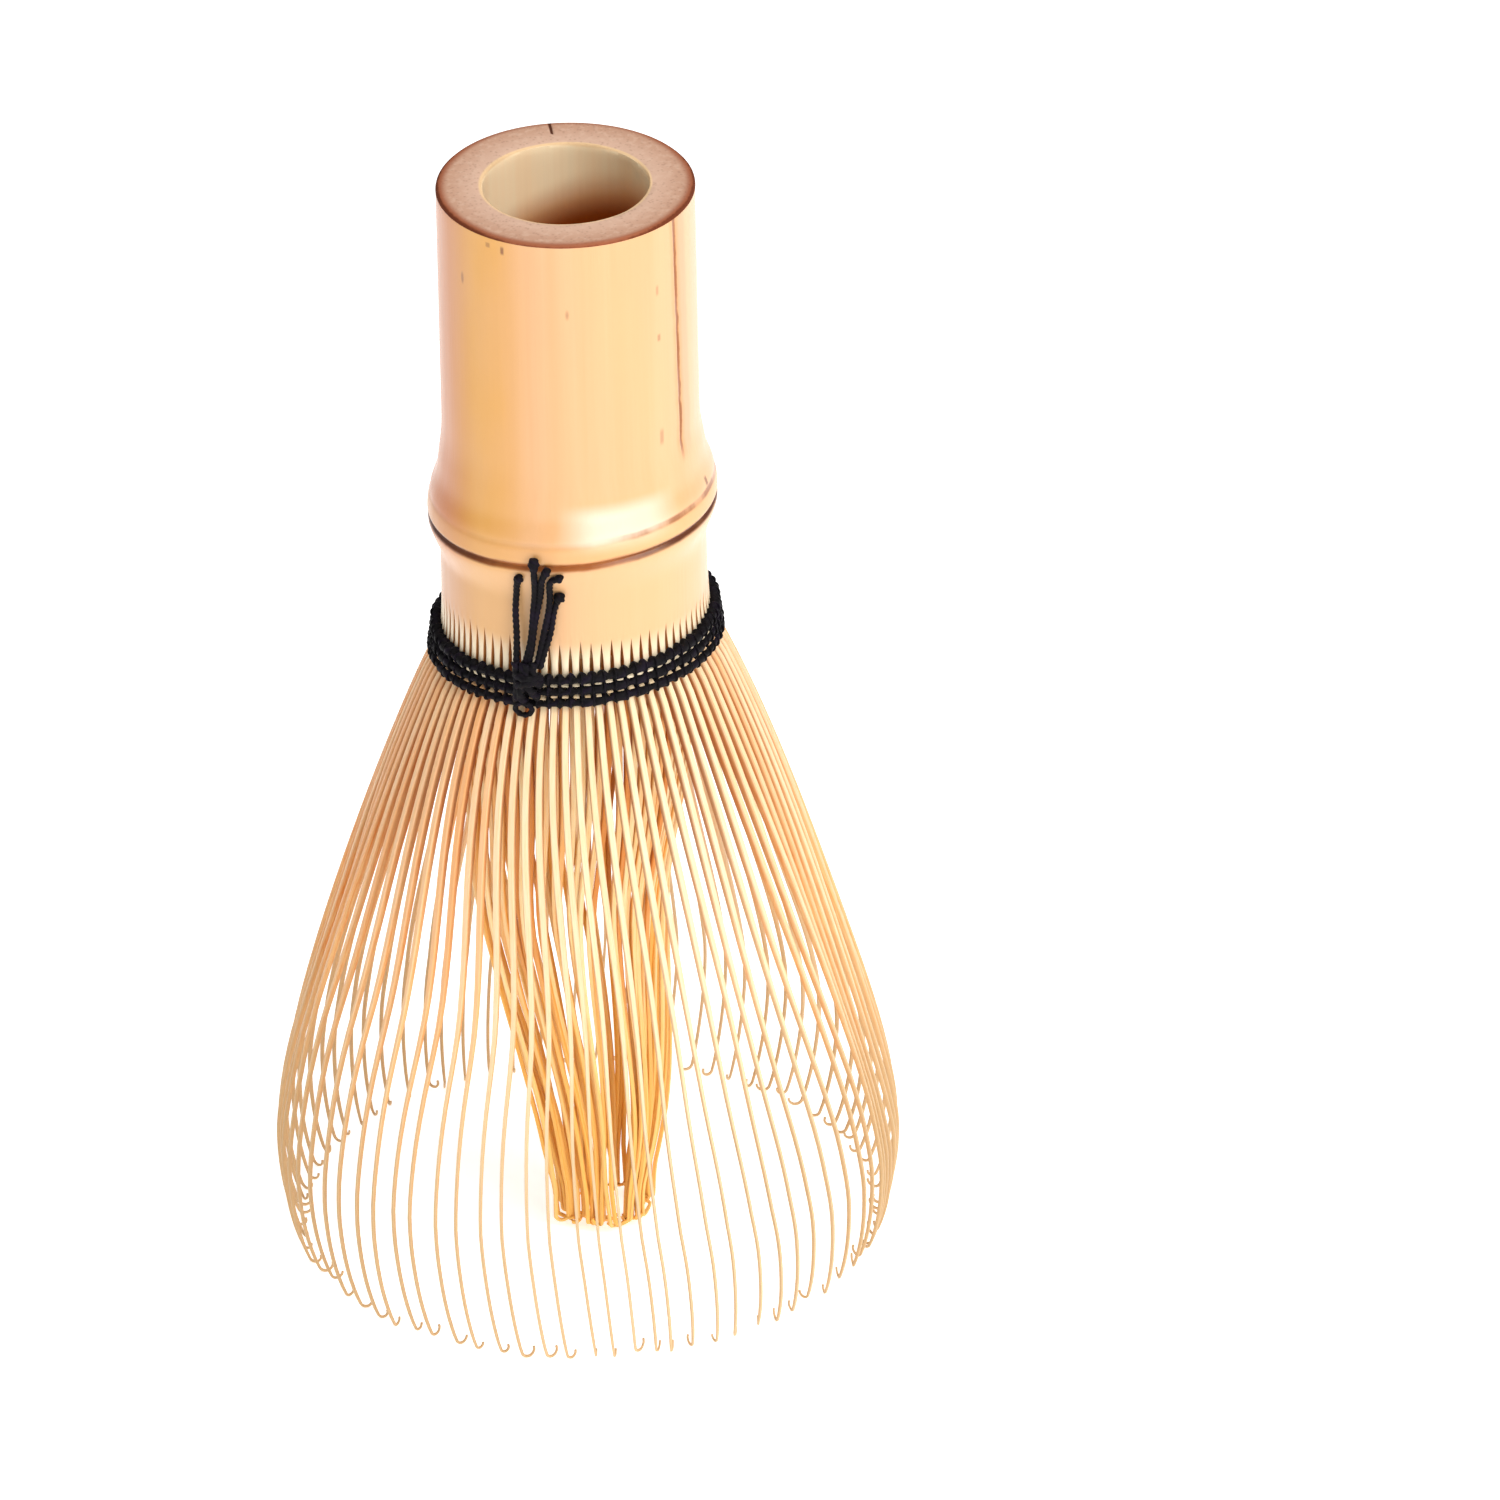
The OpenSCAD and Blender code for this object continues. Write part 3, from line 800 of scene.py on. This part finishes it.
def outer_profile(hinge, hook_size, hook_end):
    """Radius and height down an outer tine's outer face, and the index where its hook starts."""
    top = hinge - FLEX_GAP / 2
    leave = np.array([14.1, top - 1.9])
    shoulder = leave + [5.2, -11.3]
    belly = np.array([BELLY_R, 9.5])
    hook_mid = np.array([26.4 + 1.5 - hook_size, hook_size])
    start_a = -24.0
    hook_start = hook_mid + hook_size * np.array([cosd(start_a), sind(start_a)])
    above_hook = hook_start + 2.4 * np.array([-sind(start_a), cosd(start_a)])
    root = bezier([OUTER_START_R, hinge + 1.42], [12.86, hinge - 0.1], [13.6, hinge - 1.05], leave, 20)
    root[:, 0] += between_rounds(root[:, 1] - hinge - ROW_PITCH)
    flare = bezier(leave, shoulder, belly + [0, 9.2], belly, 26)
    turn = bezier(belly, belly - [0, 3.6], above_hook, hook_start, 8)
    angles = np.linspace(start_a, hook_end, 12)
    hook = hook_mid + hook_size * np.stack([cosd(angles), sind(angles)], axis=1)
    return np.concatenate([root, flare, turn, hook]), len(root) + len(flare) + len(turn)


def outer_habits(rng):
    """How each outer tine differs from its neighbours, in degrees and in millimetres."""
    a = np.arange(TEETH) * TOOTH_STEP
    drift = 3.3 * sind(2 * (a - 270)) + 0.5 * sind(7 * a + 60) + 0.45 * sind(13 * a + 200)
    drift = drift + rng.normal(0, 0.38, TEETH)
    left = angle_from(180, a)
    right = angle_from(-18, a)
    # Painted shade: tines on the left, away from the key light, get a darker, redder tone.
    darker = 0.45 * smooth((-cosd(a) - 0.2) / 0.6)
    darker_right = 0.3 * smooth((cosd(a) - 0.6) / 0.4)
    return {
        # Degrees around the whisk: its own drift, crowding at both sides, leaning at the front and back.
        "drift": drift,
        "left": -0.45 * left * np.exp(-((left / 20) ** 2)),
        "right": -0.66 * right * np.exp(-((right / 17) ** 2)),
        "lean": 8.5 * np.exp(-(((a - 235) / 42) ** 2)),
        "slip": 1.3 * smooth((0.1 - sind(a)) / 0.5),
        "shift": 2.2 * smooth((sind(a) + 0.1) / 0.5),
        "sway": rng.normal(0, 0.35, TEETH),
        # Its bow inward, the rise of its tip, its hook's radius, end and sideways twist, and its tone, with
        # painted shade added on the left side.
        "bow": np.abs(rng.normal(0, 0.35, TEETH)),
        "lift": np.abs(rng.normal(0, 0.3, TEETH)),
        "hook": 0.8 - 0.32 * rng.random(TEETH),
        "hook_end": -175 - 40 * rng.random(TEETH),
        "twist": rng.normal(24, 16, TEETH),
        "tone": 0.3 * rng.random(TEETH) + darker + darker_right,
    }


def outer_turn(k, z, fall, low, habits):
    """Azimuth down an outer tine; fall and low rise from 0 to 1 down its length and near its tip."""
    clump = habits["left"][k] * (1 - 0.95 * smooth((30 - z) / 18)) + habits["right"][k] * (1 - 0.4 * low)
    turn = k * TOOTH_STEP + (habits["drift"][k] + clump) * fall
    turn = turn + habits["lean"][k] * smooth((60 - z) / 30) + habits["slip"][k] * smooth((26 - z) / 18)
    turn = turn + habits["shift"][k] * smooth((62 - z) / 14)
    turn = turn + habits["sway"][k] * np.sin(np.pi * fall) + 0.6 * habits["sway"][k] * low
    return turn + 2.4 * np.clip((14 - z) / 14, 0, 1) ** 1.2


def outer_tine(m, k, hinge, habits):
    """One outer tine, from under the thread to its hooked tip."""
    rz, hook_first = outer_profile(hinge, habits["hook"][k], habits["hook_end"][k])
    fall = smooth((hinge - 1.5 - rz[:, 1]) / (hinge - 14))
    low = smooth((22 - rz[:, 1]) / 20)
    bow = habits["bow"][k] * np.sin(np.pi * np.clip(fall, 0, 1) ** 1.5) + 0.5 * habits["bow"][k] * low
    turn = outer_turn(k, rz[:, 1], fall, low, habits)
    path = polar(rz[:, 0] - bow, turn, rz[:, 1] + habits["lift"][k] * low)
    path, side = twist_hook(path, turn, hook_first, habits["twist"][k])
    s = np.concatenate([[0], np.cumsum(np.linalg.norm(np.diff(rz, axis=0), axis=1))])
    s = s / s[-1]
    end = smooth((s - 0.94) / 0.06)
    half_w = mix(*OUTER_HALF_W, smooth((s - 0.22) / 0.52)) * mix(1.0, 0.65, end)
    half_t = mix(*OUTER_HALF_T, s ** 0.75) * mix(1.0, 0.75, end)
    strip(m, path, side, half_w, half_t, k, habits["tone"][k])


def twist_hook(path, turn, hook_first, degrees):
    """Leans a hook sideways about its start, and gives the path and the direction across it."""
    twist = degrees * smooth((np.arange(len(path)) - hook_first + 3) / 8)
    base = path[hook_first]
    inward = polar(1.0, turn[hook_first] + 180, 0.0)
    across = polar(1.0, turn[hook_first] + 90, 0.0)
    reach = (path - base) @ inward
    hooked = np.arange(len(path)) >= hook_first
    moved = base + inward * (reach * cosd(twist))[:, None] + across * (reach * sind(twist))[:, None]
    moved[:, 2] = path[:, 2]
    path = np.where(hooked[:, None], moved, path)
    return path, polar(1.0, turn + 90 + np.where(hooked, -twist, 0), 0.0)


def bend(made, body, azimuth, top_r, low_r):
    """Works out where a group's bend below its hinge would start and end, but only bakes the group's
    placement into its mesh; nothing is bent.
    """
    hinge = hinge_height(body)
    start = polar(top_r, azimuth, hinge + BEND_ABOVE) * MM
    end = polar(low_r, azimuth, hinge - BEND_LENGTH) * MM
    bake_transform(made)


def outer_tines(material):
    """The outer ring: sixteen groups of five tines, each shaped down from its own hinge under the thread."""
    habits = outer_habits(np.random.default_rng(5))
    for g in range(OUTER_GROUPS):
        body = f"outer_fan_{g + 1:02d}"
        hinge = hinge_height(body)
        m = Mesher()
        for i in range(-2, 3):
            outer_tine(m, (g * 5 + i) % TEETH, hinge, habits)
        made = m.piece(f"outer_splints_{g + 1:02d}", [material])
        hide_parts(f"outer_tines_{g + 1:02d}")
        bend(made, body, g * 360 / OUTER_GROUPS, OUTER_START_R, BEND_OUTER_R)


def inner_profile(hinge):
    """Radius and height down the middle of an inner tine."""
    start = np.array([INNER_START_R, hinge - FLEX_GAP / 2])
    low = np.array([4.2, 4.8])
    root = bezier([INNER_ROOT_R, SPLIT_Z - 1.2], [11.1, SPLIT_Z - 2.5], start + [0, 1.5], start, 5)
    fall = bezier(start, start - [0.05, 13.6], low + [2.7, 11.2], low, 30)
    tip = bezier(low, low - [0.22, 1.0], [3.95, 2.2], [INNER_HOOK_R, 1.1], 6)
    angles = np.linspace(0, -150, 8)
    middle = np.array([INNER_HOOK_R - INNER_HOOK_SIZE, 1.05])
    hook = middle + INNER_HOOK_SIZE * np.stack([cosd(angles), sind(angles)], axis=1)
    return np.concatenate([root, fall, tip, hook])


def inner_habits(rng):
    """How each inner tine gathers with its neighbours, crosses them and curls at its tip."""
    a = np.arange(TEETH) * TOOTH_STEP
    tufts = np.sort(rng.uniform(0, 360, TUFTS))
    nearest = tufts[np.argmin(np.abs(angle_from(tufts[None], a[:, None])), axis=1)]
    pull = angle_from(a, nearest)
    return {
        "pull": pull * rng.uniform(0.3, 0.9, TEETH),
        "cross": rng.normal(0, 7.0, TEETH),
        "wave": rng.normal(0, 2.8, TEETH),
        "phase": rng.uniform(0, 360, TEETH),
        "depth": rng.normal(0, 0.45, TEETH) + 0.9 * (rng.random(TEETH) < 0.1),
        "curl": np.where(rng.random(TEETH) < 0.35, rng.normal(0, 1.2, TEETH), rng.normal(0, 0.3, TEETH)),
        "spread": 1.1 * rng.random(TEETH) * smooth(cosd(a) * 1.5 - 0.3),
        "rise": np.abs(rng.normal(0, 0.28, TEETH)),
        "tone": rng.choice([0.03, 0.4, 0.62, 0.95], TEETH, p=[0.3, 0.28, 0.22, 0.2]),
        "flare": rng.random(TEETH) * (rng.random(TEETH) < 0.35),
    }


def inner_tine(m, k, azimuth, hinge, habits):
    """One inner tine, gathered into a tuft with its neighbours towards the tip."""
    rz = inner_profile(hinge)
    s = np.linspace(0, 1, len(rz))
    gather = smooth((s - 0.12) / 0.6)
    turn = azimuth + habits["pull"][k] * gather * (1 - 0.4 * smooth((s - 0.65) / 0.3))
    turn = turn + habits["cross"][k] * smooth((s - 0.45) / 0.5)
    turn = turn + habits["wave"][k] * np.sin(2 * np.pi * 1.3 * s + np.radians(habits["phase"][k])) * gather
    r = rz[:, 0] + habits["depth"][k] * gather * (1.3 - 0.5 * s)
    path = polar(r, turn, rz[:, 1] + habits["rise"][k] * smooth((s - 0.7) / 0.3))
    tip = smooth((s - 0.86) / 0.14) ** 1.5
    path = path + polar(1.0, turn + 90, 0.0) * (habits["curl"][k] * tip)[:, None]
    path[:, 0] += 1.5 * smooth((30 - rz[:, 1]) / 21) - 0.9 * np.exp(-(((rz[:, 1] - 37) / 9) ** 2))
    path[:, 0] += habits["spread"][k] * tip
    path = path + polar(1.0, azimuth, 0.6) * (habits["flare"][k] * tip)[:, None]
    side = polar(1.0, turn + 90 + 25 * habits["wave"][k] * gather, 0.0)
    half_w = mix(*INNER_HALF_W, smooth(s / 0.55)) * mix(1.0, 0.7, smooth((s - 0.92) / 0.08))
    half_t = mix(*INNER_HALF_T, s)
    face = path + polar(1.0, turn, 0.0) * half_t[:, None]
    strip(m, face, side, half_w, half_t, 200 + k, habits["tone"][k])


def inner_azimuth(g, i):
    """Azimuth of tine i in inner group g, in line with a slit between two outer tines."""
    return g * 360 / INNER_GROUPS + (i - 4.5) * TOOTH_STEP


def inner_tines(material):
    """The inner bundle: eight groups of ten finer tines."""
    habits = inner_habits(np.random.default_rng(23))
    for g in range(INNER_GROUPS):
        body = f"inner_fan_{g + 1:02d}"
        hinge = hinge_height(body)
        m = Mesher()
        for i in range(10):
            k = (g * 10 + i - 5) % TEETH
            inner_tine(m, k, inner_azimuth(g, i), hinge, habits)
        made = m.piece(f"inner_splints_{g + 1:02d}", [material])
        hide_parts(f"inner_tines_{g + 1:02d}")
        bend(made, body, g * 360 / INNER_GROUPS, INNER_START_R, BEND_INNER_R)


def inner_roots(material):
    """The part of each inner tine that stays in one piece with the culm."""
    m = Mesher()
    for g in range(INNER_GROUPS):
        hinge = hinge_height(f"inner_fan_{g + 1:02d}")
        for i in range(10):
            a = inner_azimuth(g, i)
            z = np.linspace(SPLIT_Z + 0.25, hinge + 1.0, 7)
            r = np.interp(z, (hinge, SPLIT_Z), (INNER_START_R, INNER_ROOT_R))
            half_w = np.interp(z, (hinge, SPLIT_Z), (0.26, 0.4))
            path = polar(r + ROOT_HALF_T, a, z)
            side = polar(1.0, np.full(len(z), a + 90.0), 0.0)
            strip(m, path, side, half_w, np.full(len(z), ROOT_HALF_T), 400 + 10 * g + i, 0.5)
    made = m.piece("inner_comb_roots", [material])
    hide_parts("inner_tine_roots")
    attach(made, "handle")


# ---- thread


def twisted(m, path, up, radius, lay, sides=16, closed=False, depth=0.12, start=0.0):
    """Adds a two-ply cord along a path. One full twist is lay long, and the plies stand out by depth."""
    if closed:
        step = unit(np.roll(path, -1, axis=0) - np.roll(path, 1, axis=0))
        gaps = np.linalg.norm(np.roll(path, -1, axis=0) - path, axis=1)
        length = np.concatenate([[0], np.cumsum(gaps)[:-1]])
        total = gaps.sum()
        twist = 360 * round(total / lay) / total
    else:
        step = unit(np.gradient(path, axis=0))
        length = np.concatenate([[0], np.cumsum(np.linalg.norm(np.diff(path, axis=0), axis=1))])
        twist = 360 / lay
    side = unit(np.cross(step, up))
    lift = np.cross(side, step)
    theta = np.arange(sides) * 360 / sides
    ply = np.cos(np.radians(2 * (theta[None] - start) - 2 * twist * length[:, None]))
    r = np.broadcast_to(radius, len(path))[:, None] * (1 + depth * ply - 0.4 * depth)
    rings = path[:, None] + side[:, None] * (r * cosd(theta))[..., None]
    rings = rings + lift[:, None] * (r * sind(theta))[..., None]
    grain = np.stack([
        length[:, None] + 0 * theta,
        r * cosd(theta - twist * length[:, None]),
        r * sind(theta - twist * length[:, None]),
    ], axis=-1)
    m.tube(rings, closed=closed, ply=ply, grain=grain)


POINTS_PER_TINE = 14


def thread_rounds(material):
    """Three rounds of thread, woven between the tines: thick in the gaps and thin over each tine."""
    rng = np.random.default_rng(3)
    a = np.arange(TEETH * POINTS_PER_TINE) * TOOTH_STEP / POINTS_PER_TINE
    over = 0.5 + 0.5 * cosd(TEETH * a)
    shut = np.roll(np.repeat(rng.random(TEETH), POINTS_PER_TINE), -POINTS_PER_TINE // 2)
    for row in (1, 2, 3):
        h = (row - 2) * ROW_PITCH
        fat = np.interp(a, np.arange(TEETH + 1) * TOOTH_STEP, np.append(rng.random(TEETH), 0.5))
        thin = 0.26 + 0.16 * (shut > 0.72) + 0.03 * fat
        radius = mix(0.66 + 0.05 * fat, thin, over ** 0.6)
        ring_r = root_surface(h) + THREAD_GAP + THREAD_R - 0.22 * (1 - over) - 0.04
        ring_z = BAND_Z + h + ring_r * cosd(a) * BAND_SLOPE + 0.05 * (fat - 0.5)
        path = polar(ring_r, a, ring_z)
        m = Mesher()
        twisted(m, path, polar(0.0, a, 1.0), radius, lay=1.9, closed=True, depth=0.07)
        made = m.piece(f"thread_wrap_{row}", [material], crease=180)
        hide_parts(f"thread_round_{row}")
        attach(made, "handle")


def knot_points(rows, count):
    """A smooth line through rows of (distance along the band, height above it, distance out from it)."""
    rows = np.array(rows, float)
    t = np.linspace(0, len(rows) - 1, count)
    i = np.clip(t.astype(int), 0, len(rows) - 2)
    f = (t - i)[:, None]
    before = rows[np.clip(i - 1, 0, None)]
    after = rows[np.clip(i + 2, None, len(rows) - 1)]
    p, q = rows[i], rows[i + 1]
    line = 0.5 * (2 * p + (q - before) * f + (2 * before - 5 * p + 4 * q - after) * f**2
                  + (3 * p - before - 3 * q + after) * f**3)
    base = root_surface(0.0) + THREAD_GAP + 2 * THREAD_R
    r = base + line[:, 2]
    a = KNOT_A + np.degrees(line[:, 0] / base)
    return polar(r, a, band_height(a) + line[:, 1])


STRAND_R = 0.40
LOOP_THREAD_R = 0.27
# Lines that the knot's thread follows: along the band, above its middle, and out from its face.
KNOT_LINES = [
    [(-1.2, -1.0, -0.5), (-1.05, -0.5, 0.1), (-0.9, 0.2, 0.35),
     (-0.8, 1.3, 0.3), (-0.95, 2.4, 0.15), (-1.15, 3.3, 0.0)],
    [(-0.2, -0.9, -0.4), (-0.35, -0.5, 0.25), (-0.5, 0.2, 0.55),
     (-0.3, 1.4, 0.5), (-0.3, 2.5, 0.3), (-0.3, 3.3, 0.1)],
    [(0.9, -0.4, -0.3), (0.6, 0.3, 0.25), (0.25, 1.2, 0.55), (0.1, 2.2, 0.45), (0.05, 3.3, 0.2)],
    [(1.1, 0.8, -0.4), (0.95, 1.3, 0.0), (0.7, 2.0, 0.25), (0.6, 2.8, 0.2), (0.6, 3.4, 0.05)],
    [(-1.2, 0.7, -0.3), (-0.6, 1.2, 0.6), (0.2, 1.6, 0.8), (0.9, 1.5, 0.3), (1.2, 1.2, -0.3)],
    [(-1.2, 1.9, -0.2), (-0.5, 2.1, 0.6), (0.3, 2.0, 0.7), (1.0, 1.9, 0.1), (1.2, 1.8, -0.3)],
]


def thread_knot(material):
    """The knot over the band: upright strands, two turns across them and a small loop hanging below."""
    m = Mesher()
    outward = polar(1.0, KNOT_A, 0.0)
    for index, rows in enumerate(KNOT_LINES):
        path = knot_points(rows, 40)
        twisted(m, path, np.broadcast_to(outward, path.shape), STRAND_R, lay=1.6, sides=12, start=50 * index)
    turn = np.arange(36) * 10.0
    loop = np.stack([-0.35 + 0.8 * sind(turn), -1.5 + 0.68 * cosd(turn), 0.3 + 0.1 * cosd(turn)], axis=1)
    base = root_surface(0.0) + THREAD_GAP + 2 * THREAD_R
    a = KNOT_A + np.degrees(loop[:, 0] / base)
    path = polar(base + loop[:, 2] - 0.1, a, band_height(a) + loop[:, 1])
    twisted(m, path, np.broadcast_to(outward, path.shape), LOOP_THREAD_R, lay=1.2, sides=12, closed=True)
    made = m.piece("knot_turns", [material], crease=180)
    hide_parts("thread_knot")
    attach(made, "handle")


# Loose ends: azimuth from the knot where each leaves, bends and stops, its end height,
# a sideways turn at its end in degrees of azimuth, and how much its tip is thickened.
TAILS = [
    (-4.6, -5.8, -3.6, 76.3, 1.0, 0.45),
    (-1.5, 3.2, 3.8, 78.2, 0.0, 0.75),
    (0.0, 3.8, 8.0, 77.6, 1.2, 0.35),
    (3.4, 8.3, 10.4, 77.4, 3.6, 0.3),
    (5.0, 8.6, 13.8, 74.1, 0.0, 0.75),
]
TAIL_RISE = 2.9
TAIL_LIFT = 0.25
TAIL_KNOT_LIFT = 0.9
TAIL_FULLNESS = 1.28


def loose_end(index, material):
    """One loose end of thread, lying up the neck from the knot, with a blunt or beaded tip."""
    leave, bend, stop, end_z, hook, bead = TAILS[index]
    t = np.linspace(0, 1, 60)
    s = 1 - t
    z = mix(band_height(KNOT_A) + TAIL_RISE, end_z, t)
    turn = s**3 * leave + 3 * s * t * bend + t**3 * stop
    sway = 0.5 * np.sin(2 * np.pi * (1.2 * t + 0.17 * index)) * t * s * 4
    turn = turn + sway + hook * smooth((t - 0.8) / 0.2)
    z = z - 0.25 * hook * smooth((t - 0.85) / 0.15)
    r = culm_r(z) + TAIL_R + TAIL_LIFT - 0.12 + TAIL_KNOT_LIFT * s * s
    path = polar(r, KNOT_A + turn, z)
    tip = smooth((t - 0.88) / 0.07) * (1 - 0.75 * smooth((t - 0.97) / 0.03))
    radius = TAIL_FULLNESS * TAIL_R * (1 + bead * tip)
    m = Mesher()
    outward = polar(1.0, KNOT_A + turn, 0.0)
    twisted(m, path, outward, radius, lay=1.1, sides=12, start=70 * index, depth=0.14)
    made = m.piece(f"loose_end_{index + 1}", [material], crease=180)
    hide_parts(f"thread_end_{index + 1}")
    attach(made, "handle")


# ---- camera, floor and light

CAMERA_DISTANCE = 2.4
CAMERA_ELEVATION = 29.79
CAMERA_ROLL = 1.15
CAMERA_LENS = 616.8
AIM = Vector((0, 0, 0.055))
AIM_LEFT = 0.01609
AIM_UP = 0.00426
FLOOR_HALF = 4000
SURROUND_TINT = (1.0, 0.99, 0.975, 1)
SURROUND_STRENGTH = 0.26
# Name, azimuth, elevation, distance in metres, size in metres, power in watts and tint of each light.
LIGHTS = [
    ("key_light", 48, 40, 1.2, (0.9, 0.9), 8.6, (1.0, 0.97, 0.93)),
    ("top_light", 10, 88, 1.6, (1.4, 1.4), 15.0, (1.0, 0.99, 0.97)),
    ("front_light", 26, 4, 1.5, (1.0, 0.34), 3.6, (1.0, 0.97, 0.93)),
]


def camera():
    """The camera stands at -Y and looks down on the whisk, aimed beside it and slightly rolled."""
    data = bpy.data.cameras.new("camera")
    data.lens = CAMERA_LENS
    data.clip_start = 0.1
    data.clip_end = 100
    e, roll = math.radians(CAMERA_ELEVATION), math.radians(CAMERA_ROLL)
    back = Vector((0, -math.cos(e), math.sin(e)))
    level = Vector((1, 0, 0))
    upright = Vector((0, math.sin(e), math.cos(e)))
    right = level * math.cos(roll) - upright * math.sin(roll)
    up = level * math.sin(roll) + upright * math.cos(roll)
    place = AIM + back * CAMERA_DISTANCE + right * AIM_LEFT - up * AIM_UP
    turn = Matrix((right, up, back)).transposed().to_4x4()
    made = bpy.data.objects.new("camera", data)
    made.matrix_world = Matrix.Translation(place) @ turn
    bpy.context.scene.collection.objects.link(made)
    bpy.context.scene.camera = made


def area_light(name, azimuth, elevation, distance, size, power, tint):
    """A soft light aimed at the whisk. Azimuth 0 is at the camera's side, and 90 on its right."""
    data = bpy.data.lights.new(name, "AREA")
    data.shape = "ELLIPSE"
    data.size = size[0]
    data.size_y = size[1]
    data.energy = power
    data.color = tint
    a, e = math.radians(azimuth), math.radians(elevation)
    away = Vector((math.sin(a) * math.cos(e), -math.cos(a) * math.cos(e), math.sin(e)))
    made = bpy.data.objects.new(name, data)
    made.location = AIM + away * distance
    made.rotation_mode = "QUATERNION"
    made.rotation_quaternion = away.to_track_quat("Z", "Y")
    bpy.context.scene.collection.objects.link(made)


def studio():
    """A white floor, an even surround and three soft lights."""
    m = Mesher()
    m.add([(-FLOOR_HALF, -FLOOR_HALF, 0), (FLOOR_HALF, -FLOOR_HALF, 0),
           (FLOOR_HALF, FLOOR_HALF, 0), (-FLOOR_HALF, FLOOR_HALF, 0)])
    m.face(range(4))
    floor = m.piece("studio_floor", [floor_white()])
    world = bpy.data.worlds.new("surround")
    world.use_nodes = True
    background = world.node_tree.nodes["Background"]
    background.inputs["Color"].default_value = SURROUND_TINT
    background.inputs["Strength"].default_value = SURROUND_STRENGTH
    bpy.context.scene.world = world
    bpy.context.scene.view_settings.view_transform = "Standard"
    for light in LIGHTS:
        area_light(*light)


# ---- build

camera()
studio()
skin_material = culm_skin()
outer_material = tine_skin("bamboo_tine", *[seen(*c) for c in OUTER_COLOURS])
inner_material = tine_skin("bamboo_core", *[seen(*c) for c in INNER_COLOURS])
thread_material = thread_black()
culm_body([skin_material, inner_material, culm_end()])
inner_roots(inner_material)
outer_tines(outer_material)
inner_tines(inner_material)
thread_rounds(thread_material)
thread_knot(thread_material)
for tail in range(len(TAILS)):
    loose_end(tail, thread_material)
